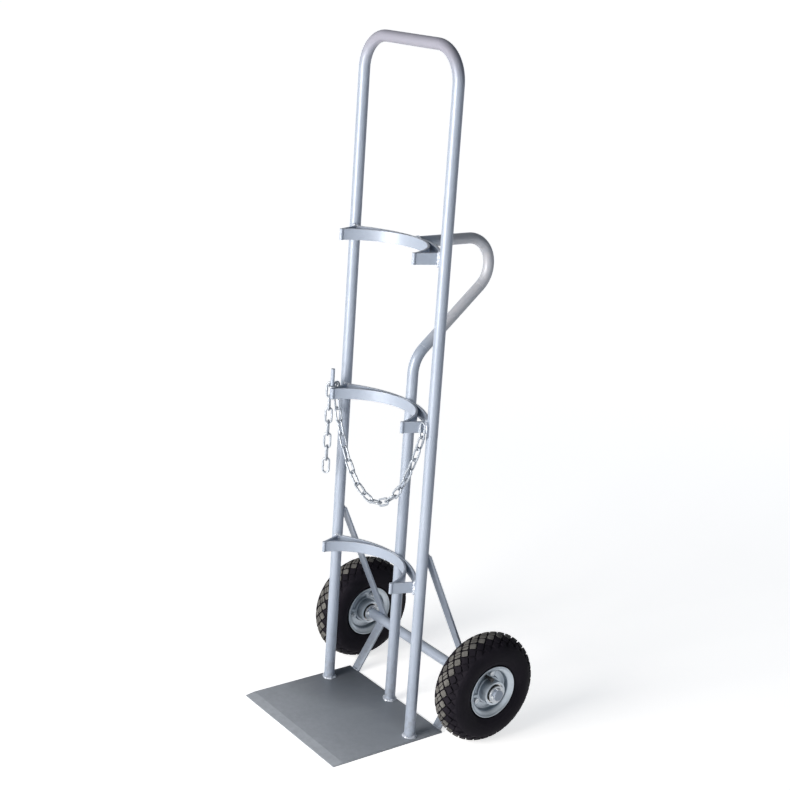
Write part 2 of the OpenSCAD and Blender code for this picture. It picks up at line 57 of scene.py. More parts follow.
def material(name, **sockets):
    made = bpy.data.materials.new(name)
    made.use_nodes = True
    tree = made.node_tree
    shader = tree.nodes["Principled BSDF"]
    for key, value in sockets.items():
        shader.inputs[key.replace("_", " ")].default_value = value
    where = put(tree, "ShaderNodeTexCoord").outputs["Object"]
    return made, tree, shader, where


def noise(tree, where, scale, detail=3.0, rough=0.55, stretch=None):
    if stretch:
        where = put(tree, "ShaderNodeMapping", {"Vector": where, "Scale": stretch}).outputs[0]
    return put(tree, "ShaderNodeTexNoise", {"Vector": where, "Scale": scale, "Detail": detail,
                                            "Roughness": rough}).outputs["Fac"]


def spread(tree, value, low, high, to_low=0.0, to_high=1.0):
    return put(tree, "ShaderNodeMapRange",
               {"Value": value, "From Min": low, "From Max": high,
                "To Min": to_low, "To Max": to_high}, clamp=True).outputs["Result"]


def times(tree, a, b, operation="MULTIPLY"):
    return put(tree, "ShaderNodeMath", {0: a, 1: b}, operation=operation).outputs[0]


def measure(tree, a, b, operation):
    return put(tree, "ShaderNodeVectorMath", {0: a, 1: b}, operation=operation).outputs["Value"]


def blend(tree, amount, first, second):
    mix = put(tree, "ShaderNodeMix", {"Factor": amount}, data_type="RGBA")
    for socket, value in ((mix.inputs[6], first), (mix.inputs[7], second)):
        if isinstance(value, bpy.types.NodeSocket):
            tree.links.new(value, socket)
        else:
            socket.default_value = (*value, 1.0)
    return mix.outputs[2]


def edges(tree, radius):
    soft = put(tree, "ShaderNodeBevel", {"Radius": radius}, samples=6).outputs[0]
    sharp = put(tree, "ShaderNodeNewGeometry").outputs["Normal"]
    return soft, spread(tree, measure(tree, soft, sharp, "DOT_PRODUCT"), 0.995, 0.86)


def coat(tree, shader, tone, roughness):
    tree.links.new(tone, shader.inputs["Base Color"])
    tree.links.new(roughness, shader.inputs["Roughness"])


def height(tree, shader, parts, normal=None):
    for value, strength, distance in parts:
        bump = put(tree, "ShaderNodeBump",
                   {"Height": value, "Strength": strength, "Distance": distance})
        if normal is not None:
            tree.links.new(normal, bump.inputs["Normal"])
        normal = bump.outputs[0]
    tree.links.new(normal, shader.inputs["Normal"])


def dress(names, made):
    for name in names:
        slots = nodes[name].data.materials
        if len(slots):
            for i in range(len(slots)):
                slots[i] = made
        else:
            slots.append(made)


plate_dark, plate_light = (0.200, 0.224, 0.257), (0.256, 0.281, 0.316)
plate_front_light, plate_corner_painted_shade = (0.455, 0.488, 0.535), (0.082, 0.094, 0.113)
plate_scuff, plate_edge = (0.44, 0.46, 0.49), (0.50, 0.53, 0.56)
rear_left = (-0.15, 0.06, 0.0)
plate_paint, tree, shader, where = material("plate_paint", Metallic=0.05, IOR=1.45)
broad = noise(tree, where, 7.0, 4.0)
mottle = noise(tree, where, 90.0, 4.0, 0.6)
scuff = noise(tree, where, 60.0, 3.0, 0.6, (1.0, 0.06, 1.0))
soft, edge_band = edges(tree, 0.0012)
split = put(tree, "ShaderNodeSeparateXYZ", {"Vector": where})
forward = spread(tree, split.outputs["Y"], 0.05, -0.21)
front_light_mask = times(tree, forward, spread(tree, mottle, 0.3, 0.7, 0.62, 0.95))
corner = measure(tree, where, rear_left, "DISTANCE")
lighter_edges = times(tree, edge_band, spread(tree, mottle, 0.4, 0.6, 0.2, 0.8))
tone = blend(tree, spread(tree, broad, 0.35, 0.65), plate_dark, plate_light)
# Painted light: the front half of the plate is painted lighter.
tone = blend(tree, front_light_mask, tone, plate_front_light)
# Painted shade: the rear left corner of the plate is darkened.
tone = blend(tree, spread(tree, corner, 0.19, 0.02, 0.0, 0.76), tone, plate_corner_painted_shade)
tone = blend(tree, spread(tree, scuff, 0.62, 0.74, 0.0, 0.07), tone, plate_scuff)
tone = blend(tree, lighter_edges, tone, plate_edge)
coat(tree, shader, tone, spread(tree, mottle, 0.3, 0.7, 0.38, 0.50))
grain = noise(tree, where, 420.0, 2.0)
height(tree, shader, [(grain, 0.12, 0.0005), (scuff, 0.08, 0.0004)], soft)
dress(["base_plate"], plate_paint)

# Frame tube: 25.4 mm steel tube, bent cold into the inverted U and into the spine with its
# D-shaped handle. Sprayed silver-grey with a faint blue cast: orange peel in the gloss, painted
# shade on the top rail, the handle painted lighter as hand wear and painted light, sharp edges
# lighter as rubbed paint and painted highlight, and dirt low by the plate.
silver_dark, silver_light = (0.345, 0.400, 0.492), (0.395, 0.450, 0.542)
silver_cloud, silver_speck = (0.302, 0.352, 0.442), (0.46, 0.52, 0.61)
rail_painted_shade, grip_wear_and_light = (0.330, 0.330, 0.396), (0.575, 0.570, 0.595)
silver_edge_wear_and_highlight, road_dirt = (0.68, 0.72, 0.78), (0.20, 0.19, 0.175)
frame_paint, tree, shader, where = material("frame_paint", Metallic=0.14, IOR=1.52)
broad = noise(tree, where, 5.0, 3.0)
mottle = noise(tree, where, 75.0, 4.0, 0.6)
speck = noise(tree, where, 620.0, 2.0)
soft, edge_band = edges(tree, 0.0020)
split = put(tree, "ShaderNodeSeparateXYZ", {"Vector": where})
back, up = split.outputs["Y"], split.outputs["Z"]
grip = times(tree, spread(tree, back, 0.085, 0.13), spread(tree, up, 0.70, 0.86))
grip = times(tree, grip, spread(tree, mottle, 0.3, 0.7, 0.45, 0.75))
lighter_edges = times(tree, edge_band, spread(tree, mottle, 0.42, 0.60, 0.35, 0.85))
dirty = times(tree, spread(tree, up, 0.16, 0.0), spread(tree, mottle, 0.45, 0.70, 0.0, 0.5))
tone = blend(tree, spread(tree, broad, 0.35, 0.65), silver_dark, silver_light)
tone = blend(tree, spread(tree, mottle, 0.35, 0.75, 0.0, 0.30), tone, silver_cloud)
tone = blend(tree, spread(tree, speck, 0.62, 0.70, 0.0, 0.25), tone, silver_speck)
# Painted shade: the top rail is darkened to a greyer tone.
tone = blend(tree, spread(tree, up, 1.47, 1.54), tone, rail_painted_shade)
# The handle is painted lighter: hand wear and painted light.
tone = blend(tree, grip, tone, grip_wear_and_light)
# Sharp edges are painted lighter: rubbed paint and painted highlight.
tone = blend(tree, lighter_edges, tone, silver_edge_wear_and_highlight)
tone = blend(tree, dirty, tone, road_dirt)
coat(tree, shader, tone, spread(tree, mottle, 0.25, 0.75, 0.34, 0.44))
peel = noise(tree, where, 700.0, 1.0)
height(tree, shader, [(peel, 0.04, 0.0003), (mottle, 0.02, 0.0006)], soft)
dress(["front_frame", "spine_tube", "handle_slope", "handle_grip"], frame_paint)

# Cradles: three flat bar arcs, each folded at its tips into two short legs that are welded to
# the uprights, backed by a shallower bar that ties upright, spine and upright together.
dress(["top_cradle", "middle_cradle", "bottom_cradle",
       "top_backing", "middle_backing", "bottom_backing"], frame_paint)

# Axle and braces: solid round bar, held behind the uprights by straight flat bars cut to length.
# Upper braces run to the back of the uprights, lower ones to the plate's rear edge.
dress(["axle", "upper_brace_left", "upper_brace_right",
       "lower_brace_left", "lower_brace_right"], frame_paint)


# Weld beads: hand-laid fillets, every few millimetres a new ripple, painted over with the frame.
# They ring the tube feet, run up the cradle legs and hold the braces; the coarse ones at feet and
# cradles are lumpy and catch the light, and that light is painted in: their paint is brighter than
# the frame's, a painted highlight.
def build(name, verts, faces, materials, body, slot, smooth=50.0, kinds=None):
    mesh = bpy.data.meshes.new(name)
    mesh.from_pydata(verts, [], faces)
    for made in materials:
        mesh.materials.append(made)
    mesh.polygons.foreach_set("use_smooth", [True] * len(faces))
    if kinds:
        mesh.polygons.foreach_set("material_index", kinds)
    mesh.update()
    mesh.set_sharp_from_angle(angle=math.radians(smooth))
    piece = bpy.data.objects.new(name, mesh)
    bpy.context.scene.collection.objects.link(piece)
    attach(piece, body)
    return piece


def sweep(path, outs, radius, closed, seed, ripple=0.0022, rough=0.13):
    sides, flat, beats = 10, 0.8, 4
    rand = random.Random(seed)
    marks = [0.0]
    for a, b in zip(path, path[1:]):
        marks.append(marks[-1] + (b - a).length)
    points, ways = path, outs
    if closed:
        marks.append(marks[-1] + (path[0] - path[-1]).length)
        points, ways = path + [path[0]], outs + [outs[0]]
    total = marks[-1]
    count = max(8, int(total / ripple) * beats)
    wobble = [rand.uniform(1.0 - rough, 1.0 + rough) for _ in range(count // beats + 2)]
    verts, faces = [], []
    for i in range(count if closed else count + 1):
        at = total * i / count
        j = max(k for k in range(len(marks) - 1) if marks[k] <= at + 1e-12)
        t = min(1.0, (at - marks[j]) / max(marks[j + 1] - marks[j], 1e-9))
        middle = points[j].lerp(points[j + 1], t)
        out = ways[j].lerp(ways[j + 1], t).normalized()
        along = (points[j + 1] - points[j]).normalized()
        across = along.cross(out).normalized()
        phase = (i % beats) / beats
        swell = 0.86 + 0.20 * math.sin(math.pi * (0.15 + 0.8 * phase))
        size = radius * wobble[i // beats] * swell
        if not closed:
            rest = min(at, total - at) / (radius * 1.4)
            size *= math.sqrt(max(0.04, 1.0 - (1.0 - min(rest, 1.0)) ** 2))
        for k in range(sides):
            a = 2 * math.pi * k / sides
            verts.append(middle + out * (math.cos(a) * size * flat) + across * (math.sin(a) * size))
    rings = len(verts) // sides
    for i in range(rings if closed else rings - 1):
        n = (i + 1) % rings
        for k in range(sides):
            m = (k + 1) % sides
            faces.append((i * sides + k, n * sides + k, n * sides + m, i * sides + m))
    if not closed:
        faces.append(tuple(range(sides)))
        faces.append(tuple(reversed(range((rings - 1) * sides, rings * sides))))
    return verts, faces


def join(parts):
    verts, faces = [], []
    for v, f in parts:
        base = len(verts)
        verts += v
        faces += [tuple(i + base for i in face) for face in f]
    return verts, faces


def ring(centre, axis, start, radius, tilt, size, seed, count=40, turn=(0.0, 360.0),
         ripple=0.0022, rough=0.13):
    axis, start = Vector(axis).normalized(), Vector(start).normalized()
    other = axis.cross(start)
    closed = turn[1] - turn[0] > 359.9
    path, outs = [], []
    for i in range(count if closed else count + 1):
        a = math.radians(turn[0] + (turn[1] - turn[0]) * i / count)
        way = start * math.cos(a) + other * math.sin(a)
        path.append(Vector(centre) + way * radius)
        outs.append((way * (1.0 - tilt) + axis * tilt).normalized())
    return sweep(path, outs, size, closed, seed, ripple, rough)


def seam(a, b, out, size, seed):
    steps = 6
    a, b = Vector(a), Vector(b)
    path = [a.lerp(b, i / steps) for i in range(steps + 1)]
    return sweep(path, [Vector(out).normalized()] * len(path), size, False, seed)


# The beads' paint is brighter than the frame's: a painted highlight.
bead_dark, bead_light = (0.42, 0.47, 0.55), (0.66, 0.70, 0.77)
weld_highlight_paint, tree, shader, where = material("weld_highlight_paint", Metallic=0.30, IOR=1.52)
pitted = noise(tree, where, 240.0, 3.0)
tone = blend(tree, spread(tree, pitted, 0.35, 0.65), bead_dark, bead_light)
coat(tree, shader, tone, spread(tree, pitted, 0.3, 0.7, 0.24, 0.36))
height(tree, shader, [(pitted, 0.35, 0.0012)])

upright_x, spine_y, foot_z = 0.165, 0.0645, 0.0054
tube_feet = ((-upright_x, 0.0), (upright_x, 0.0), (0.0, spine_y))
feet = [ring((x, y, foot_z), (0, 0, 1), (1, 0, 0), 0.0137, 0.5, 0.0039, seed,
             ripple=0.0066, rough=0.36) for seed, (x, y) in enumerate(tube_feet, 1)]
build("foot_welds", *join(feet), [weld_highlight_paint], "frame", "frame_paint")

cradle_z = (1.117, 0.748, 0.372)
leg_corners = (((0.1554, -0.0083), (0.165, -0.98), -1), ((0.1517, -0.0016), (-0.40, 0.80), 1))
blob_z = (0.0095, 0.0020, -0.0055, -0.0130)
bar_half, inner_half, bow_half = 0.0120, 0.011, 0.0121
bow_y, bow_r = -0.1874, 0.2350
bow_x = [-0.021 + 0.006 * k for k in range(8)]
joints = []
for level, z in enumerate(cradle_z):
    for s in (-1, 1):
        loop, outs = [], []
        for (x, y), (ox, oy), start in leg_corners:
            for k in range(5):
                h = start - 2 * start * k / 4.0
                loop.append(Vector((s * x, y, z + bar_half * h)))
                outs.append(Vector((s * ox, oy, 0.9 * h if abs(h) > 0.9 else 0.0)).normalized())
        joints.append(sweep(loop, outs, 0.0044, True, 20 + level * 2 + s, 0.0056, 0.28))
        joints.append(seam((s * 0.1500, -0.0066, z - inner_half),
                           (s * 0.1500, -0.0066, z + inner_half),
                           (-0.966 * s, -0.257, 0.0), 0.0020, 40 + level * 2 + s))
        beside_chain = level == 1 and s > 0
        for k, h in enumerate(blob_z[:2] if beside_chain else blob_z):
            joints.append(seam((s * 0.1549, -0.0106, z + h - 0.0050),
                               (s * 0.1545, -0.0102, z + h + 0.0050),
                               (0.5 * s, -0.86, 0.0), 0.0040, 100 + level * 20 + s * 5 + k))
        joints.append(seam((s * 0.1590, -0.0128, z + 0.0140), (s * 0.1528, -0.0035, z + 0.0140),
                           (0.0, 0.0, 1.0), 0.0046, 180 + level * 2 + s))
        if level:
            joints.append(seam((s * 0.0056, 0.0531, z - inner_half),
                               (s * 0.0056, 0.0531, z + inner_half),
                               (0.985 * s, 0.17, 0.0), 0.0026, 60 + level * 2 + s))
    for h in (-1, 1):
        bow = [Vector((x, bow_y + math.sqrt(bow_r ** 2 - x * x), z + bow_half * h)) for x in bow_x]
        joints.append(sweep(bow, [Vector((0, 0, h))] * len(bow), 0.0018, False,
                            80 + level * 2 + h))
joints.append(ring((0.0, 0.0532, 1.1185), (0, 1, 0), (1, 0, 0), 0.0131, 0.5, 0.0019, 95))
build("cradle_welds", *join(joints), [weld_highlight_paint], "frame", "frame_paint")

brace_half, bead_r, brace_top = 0.0115, 0.0131, 0.4517
under = ((-0.0098, 0.0090, 0.4515), (-0.0078, 0.0101, 0.4478), (-0.0052, 0.0117, 0.4440),
         (0.0, 0.0131, 0.4415), (0.0052, 0.0117, 0.4440), (0.0078, 0.0101, 0.4478),
         (0.0098, 0.0090, 0.4515))
over = [(bead_r * math.sin(math.radians(a)), bead_r * math.cos(math.radians(a)))
        for a in range(-48, 49, 12)]
brace_ends = ((0.1522, 0.1382, -0.416, 0.909, 0.0030), (0.1557, 0.1293, 1.0, 0.0, 0.0036),
              (0.1510, 0.1206, -0.533, -0.846, 0.0030), (0.0784, 0.0058, -0.5, 0.85, 0.0026))
joints = []
for s in (-1, 1):
    x = s * upright_x
    joints.append(sweep([Vector((x + p[0], p[1], p[2])) for p in under],
                        [Vector((p[0] * 90, 0.35, -0.55)).normalized() for p in under],
                        0.0023, False, 110 + s))
    joints.append(sweep([Vector((x + p[0], p[1], brace_top)) for p in over],
                        [Vector((p[0] * 30, p[1] * 30, 0.8)).normalized() for p in over],
                        0.0024, False, 113 + s))
    for k, (y, z, oy, oz, size) in enumerate(brace_ends):
        joints.append(seam((x - brace_half, y, z), (x + brace_half, y, z), (0, oy, oz), size,
                           120 + 5 * k + s))
build("brace_welds", *join(joints), [frame_paint], "frame", "frame_paint")

# Hook pin and chain: a cut length of 9 mm rod stands up from the left leg of the middle cradle.
# The chain is electro-galvanised, 4.5 mm wire, each link bent and butt-welded on one long side;
# its last link is welded to the right leg and the loose end drops over the pin.
dress(["hook_pin"], frame_paint)
leg_way, leg_face = Vector((-0.3547, 0.9350, 0.0)), Vector((-0.9350, -0.3547, 0.0))
pin_foot = Vector((-0.14189, -0.05480, 0.0)) - leg_face * 0.0042
pin_low, pin_high = Vector((0, 0, 0.7385)), Vector((0, 0, 0.7595))
joints = [seam(pin_foot + leg_way * k * 0.0034 + pin_low,
               pin_foot + leg_way * k * 0.0034 + pin_high,
               leg_way * k + leg_face * 0.6, 0.0019, 140 + k) for k in (-1, 1)]
build("pin_welds", *join(joints), [frame_paint], "frame", "frame_paint")

link_dark, link_light = (0.36, 0.40, 0.455), (0.47, 0.51, 0.565)
link_grain, link_dull = (0.30, 0.33, 0.38), (0.26, 0.26, 0.27)
chain_zinc, tree, shader, where = material("chain_zinc", Metallic=0.55, IOR=1.5)
cloud = noise(tree, where, 160.0, 4.0, 0.6)
dull = noise(tree, where, 45.0, 3.0)
spangle = put(tree, "ShaderNodeTexVoronoi", {"Vector": where, "Scale": 900.0}).outputs["Color"]
grain = put(tree, "ShaderNodeRGBToBW", {"Color": spangle}).outputs[0]
tone = blend(tree, spread(tree, cloud, 0.35, 0.65), link_dark, link_light)
tone = blend(tree, times(tree, grain, 0.22), tone, link_grain)
tone = blend(tree, spread(tree, dull, 0.60, 0.75, 0.0, 0.4), tone, link_dull)
coat(tree, shader, tone, spread(tree, cloud, 0.3, 0.7, 0.28, 0.46))
height(tree, shader, [(cloud, 0.10, 0.0003), (grain, 0.05, 0.0001)])
dress(["chain_anchor_link", "chain_hooked_links", "chain_strand", "chain_tail"], chain_zinc)


def butt_weld(place, across):
    sides = 14
    rows = ((-0.0042, 0.00228), (-0.0030, 0.00252), (-0.0012, 0.00272), (0.0004, 0.00262),
            (0.0018, 0.00274), (0.0032, 0.00248), (0.0042, 0.00228))
    verts, faces = [], []
    for z, r in rows:
        for k in range(sides):
            a = 2 * math.pi * k / sides
            bulge = 1.0 + 0.05 * math.sin(3 * a + z * 900)
            verts.append(place @ Vector((across + r * bulge * math.cos(a),
                                         r * bulge * math.sin(a), z)))
    for i in range(len(rows) - 1):
        low = i * sides
        for k in range(sides):
            m = (k + 1) % sides
            faces.append((low + k, low + m, low + sides + m, low + sides + k))
    faces += [tuple(reversed(range(sides))), tuple(range(len(verts) - sides, len(verts)))]
    return verts, faces


def spun(degrees):
    return Matrix.Rotation(math.radians(degrees), 4, "Z")


strand_links, tail_links = 18, 6
link_half, link_end, link_step, link_seat = 0.00725, 0.01775, 0.0305, 0.0025
first, last = Vector((-0.156859, -0.032464)), Vector((0.15901, -0.02271))
hook_z, anchor_z = 0.74955, 0.743
high_a, high_b = hook_z - link_end + link_seat, anchor_z - link_end + link_seat
span = (last - first).length
curve = 0.0827
steep = math.sinh(span / (2 * curve))
lowest = span / 2 - curve * math.asinh((high_b - high_a) / (2 * curve * steep))
length = curve * (math.sinh((span - lowest) / curve) + math.sinh(lowest / curve))


def on_strand(i):
    reach = length * i / float(strand_links)
    s = lowest + curve * math.asinh(reach / curve - math.sinh(lowest / curve))
    return s, high_a + curve * (math.cosh((s - lowest) / curve) - math.cosh(lowest / curve))


heading = math.atan2(last.y - first.y, last.x - first.x)
turned = Matrix.Translation((first.x, first.y, 0)) @ Matrix.Rotation(heading, 4, "Z")
lumps = []
for i in range(strand_links):
    (pa, pz), (qa, qz) = on_strand(i), on_strand(i + 1)
    place = turned @ Matrix.Translation(((pa + qa) / 2, 0, (pz + qz) / 2))
    place = place @ Matrix.Rotation(math.atan2(qa - pa, qz - pz), 4, "Y") @ spun(90 * (i % 2))
    lumps.append(butt_weld(place, link_half if i % 3 else -link_half))
build("strand_link_welds", *join(lumps), [chain_zinc], "chain_strand", "chain_zinc")

tail_x, tail_y = -0.157075, -0.049789
hook_turn = math.radians(180 - 69.2262 + 24)
lumps = []
for i in range(tail_links):
    place = Matrix.Translation((tail_x, tail_y, hook_z - link_step * (i + 1)))
    place = place @ Matrix.Rotation(hook_turn + math.radians(90 * (i % 2)), 4, "Z")
    lumps.append(butt_weld(place, link_half if i % 2 else -link_half))
build("tail_link_welds", *join(lumps), [chain_zinc], "chain_tail", "chain_zinc")

tail_top = (Matrix.Translation((tail_x, tail_y, hook_z))
            @ Matrix.Rotation(hook_turn + math.radians(90), 4, "Z"))
lumps = [butt_weld(tail_top, link_half),
         butt_weld(Matrix.Translation((first.x, first.y, hook_z)) @ spun(90), -link_half),
         butt_weld(Matrix.Translation((last.x, last.y, anchor_z)), link_half)]
leg_way, leg_face = Vector((0.3547, 0.9350, 0.0)), Vector((0.935, -0.3547, 0.0))
link_foot = Vector((0.14975, -0.0220, 0.0))
link_low, link_high = Vector((0, 0, 0.736)), Vector((0, 0, 0.752))
lumps += [seam(link_foot + leg_way * k * 0.0023 + link_low,
               link_foot + leg_way * k * 0.0023 + link_high,
               leg_way * k + leg_face * 0.6, 0.0017, 150 + k) for k in (-1, 1)]
build("fixed_link_welds", *join(lumps), [chain_zinc], "frame", "chain_zinc")

# Tyres: 260 mm pneumatic tyres, moulded black rubber. The tread is a lattice of diamond blocks in
# seven staggered rows, thirty-one round the tyre, the three middle rows worn grey where they roll;
# the outer rows stay black and end at a smooth, bulged sidewall with a rim line near the bead.
rubber_dark, rubber_light = (0.0085, 0.0076, 0.0118), (0.0195, 0.0170, 0.0235)
rubber_pore = (0.027, 0.024, 0.027)
tyre_rubber, tree, shader, where = material("tyre_rubber", IOR=1.45, Specular_IOR_Level=0.12)
cloud = noise(tree, where, 26.0, 4.0, 0.6)
pores = noise(tree, where, 520.0, 3.0, 0.6)
tone = blend(tree, spread(tree, cloud, 0.35, 0.70), rubber_dark, rubber_light)
tone = blend(tree, spread(tree, pores, 0.58, 0.74, 0.0, 0.5), tone, rubber_pore)
coat(tree, shader, tone, spread(tree, cloud, 0.3, 0.7, 0.62, 0.80))
height(tree, shader, [(pores, 0.18, 0.0005), (cloud, 0.10, 0.0012)])

tread_dark, tread_light = (0.085, 0.083, 0.080), (0.200, 0.195, 0.184)
tread_grit = (0.075, 0.073, 0.070)
tread_rubber, tree, shader, where = material("tread_rubber", IOR=1.45, Specular_IOR_Level=0.12)
cloud = noise(tree, where, 55.0, 4.0, 0.65)
grit = noise(tree, where, 650.0, 3.0, 0.6)
tone = blend(tree, spread(tree, cloud, 0.32, 0.68), tread_dark, tread_light)
tone = blend(tree, spread(tree, grit, 0.55, 0.72, 0.0, 0.55), tone, tread_grit)
coat(tree, shader, tone, spread(tree, grit, 0.3, 0.7, 0.75, 0.92))
height(tree, shader, [(grit, 0.30, 0.0006)])

wheel_x, axle_y, axle_z = 0.243, 0.143, 0.130
section_ring, tread_r, shell_r = 0.089, 0.0410, 0.0406
groove_depth, groove_end, groove_fade = 0.0038, 62.0, 16.0
blocks_round, row_step = 31, 16.0
black, grey = 0, 1


def ease(x, low, high):
    t = min(1.0, max(0.0, (x - low) / (high - low)))
    return t * t * (3 - 2 * t)


def tyre(side, phase):
    pitch = 360.0 / blocks_round
    verts, faces, kinds = [], [], []

    def at(turn, section, radius):
        a, f = math.radians(turn), math.radians(section)
        r = section_ring + radius * math.cos(f)
        return Vector((side * (wheel_x + radius * math.sin(f)),
                       axle_y + r * math.cos(a), axle_z + r * math.sin(a)))

    def rib(section, middle, half_width, rise):
        return rise * max(0.0, 1.0 - abs(abs(section) - middle) / half_width)

    def shell(section):
        groove = ease(groove_end - abs(section), 0.0, groove_fade)
        rim_line, mould_line = rib(section, 108.0, 2.2, 0.0008), rib(section, 72.0, 1.5, 0.0004)
        return shell_r - groove_depth * groove + rim_line + mould_line

    def crown(section):
        return tread_r

    def shoulder(section):
        return tread_r - 0.0004 * max(0.0, (abs(section) - 44.0) / 18.0)

    def add(face, kind):
        faces.append(face if side > 0 else face[::-1])
        kinds.append(kind)

    profile = [(-129.5, 0.0390)] + [(x * 0.5, shell(x * 0.5)) for x in range(-250, 251, 3)]
    profile += [(129.5, 0.0390), (130.0, 0.0345)]
    profile += [(x, 0.0335) for x in range(120, -121, -12)] + [(-130.0, 0.0345)]
    steps, wide = 186, len(profile)
    for i in range(steps):
        for section, radius in profile:
            verts.append(at(360.0 * i / steps, section, radius))
    for i in range(steps):
        n = (i + 1) % steps
        for k in range(wide):
            m = (k + 1) % wide
            add((i * wide + k, n * wide + k, n * wide + m, i * wide + m), black)

    def block(turn, section, outline, top, kind, wall, edge, middle):
        base, size = len(verts), len(outline)
        for s, t in outline:
            verts.append(at(turn + s, section + t, shell(section + t) - 0.0004))
        for scale, depth in ((wall, 0.0007), (edge, 0.0), (middle, 0.0)):
            for s, t in outline:
                here = section + t * scale
                verts.append(at(turn + s * scale, here, top(here) - depth))
        for i in range(3):
            low, high = base + i * size, base + (i + 1) * size
            for k in range(size):
                m = (k + 1) % size
                add((low + k, low + m, high + m, high + k), kind if i >= 1 else black)
        centre_s = sum(p[0] for p in outline) / size * 0.5
        centre_t = sum(p[1] for p in outline) / size * 0.5
        verts.append(at(turn + centre_s, section + centre_t, top(section + centre_t)))
        for k in range(size):
            add((high + k, high + (k + 1) % size, len(verts) - 1), kind)

    def diamond(half_s, half_t):
        points, power = 24, 2 / 1.22
        out = []
        for k in range(points):
            a = 2 * math.pi * k / points
            c, s = math.cos(a), math.sin(a)
            out.append((half_s * math.copysign(abs(c) ** power, c),
                        half_t * math.copysign(abs(s) ** power, s)))
        return out

    full = diamond(pitch * 0.5 * 0.78, row_step * 0.77)
    knob = diamond(pitch * 0.5 * 0.74, row_step * 0.78)
    halves = [[(s, t) for s, t in full if keep * (s * 0.62 + t * 0.30) > 0.20] for keep in (-1, 1)]
    for row in range(-3, 4):
        section = row_step * row
        for i in range(blocks_round):
            turn = phase + pitch * (i + (0.5 if row % 2 == 0 else 0.0))
            if row == 0:
                for part in halves:
                    block(turn, section, part, crown, grey, 0.97, 0.92, 0.5)
            elif abs(row) < 3:
                kind = grey if abs(row) == 1 else black
                block(turn, section, full, crown, kind, 0.95, 0.88, 0.45)
            else:
                outer = [(s, t if t * row < 0 else t * 1.05) for s, t in knob]
                block(turn, section, outer, shoulder, black, 0.94, 0.84, 0.45)
    name = "left" if side < 0 else "right"
    piece = build("tread_tyre_" + name, verts, faces, [tyre_rubber, tread_rubber],
                  "wheel_" + name, "tyre_rubber", 38.0, kinds)
    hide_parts("tyre_" + name)


tyre(1, 113.7)
tyre(-1, 108.0)
dress(["inner_tube_left", "inner_tube_right"], tyre_rubber)

# Rims: two zinc-plated sheet pressings per wheel, bolted back to back through three raised lobes.
# Each has a rolled lip, a flared flange, a short barrel, a dished web and a collar round the hub.
rim_dark, rim_light = (0.510, 0.570, 0.630), (0.630, 0.690, 0.750)
rim_speck, rim_stain, rim_recess_shade = (0.30, 0.33, 0.38), (0.32, 0.33, 0.35), (0.105, 0.140, 0.180)
rim_zinc, tree, shader, where = material("rim_zinc", Metallic=0.70, IOR=1.5)
cloud = noise(tree, where, 38.0, 4.0, 0.6)
fine = noise(tree, where, 480.0, 3.0, 0.6)
stain = noise(tree, where, 14.0, 2.0)
# Painted shade: ambient occlusion darkens the recesses of the rims and hubs, such as the dish walls
# and the hub barrel.
shade_occlusion = put(tree, "ShaderNodeAmbientOcclusion", {"Distance": 0.035}, samples=8).outputs["AO"]
tone = blend(tree, spread(tree, cloud, 0.32, 0.68), rim_dark, rim_light)
tone = blend(tree, spread(tree, fine, 0.58, 0.72, 0.0, 0.3), tone, rim_speck)
tone = blend(tree, spread(tree, stain, 0.56, 0.72, 0.0, 0.35), tone, rim_stain)
tone = blend(tree, spread(tree, shade_occlusion, 0.62, 0.25, 0.0, 0.78), tone, rim_recess_shade)
coat(tree, shader, tone, spread(tree, cloud, 0.3, 0.7, 0.30, 0.46))
height(tree, shader, [(fine, 0.06, 0.0003), (cloud, 0.05, 0.0008)])

bolt_circle, hub_r = 0.0405, 0.0281
web_level, lobe_rise, collar_level, sheet = 0.0145, 0.0045, 0.0205, 0.0022
rim_front = ((0.0471, 0.0150), (0.0479, 0.0160), (0.0485, 0.0174), (0.0488, 0.0190),
             (0.0488, 0.0225), (0.0490, 0.0250), (0.0496, 0.0266), (0.0508, 0.0278),
             (0.0530, 0.0290), (0.0555, 0.0303), (0.0580, 0.0317), (0.0592, 0.0329),
             (0.0599, 0.0340), (0.0606, 0.0347), (0.0615, 0.0348), (0.0623, 0.0343),
             (0.0627, 0.0333), (0.0626, 0.0322), (0.0618, 0.0313), (0.0605, 0.0312))
rim_back = ((0.0590, 0.0306), (0.0565, 0.0290), (0.0540, 0.0277), (0.0520, 0.0266),
            (0.0508, 0.0245), (0.0508, 0.0120))
web_front = [hub_r + 0.0004 * k for k in range(15)] + [0.0341 + 0.0008 * k for k in range(16)]
web_back = (0.047, 0.044, 0.041, 0.038, 0.035, 0.032, hub_r)


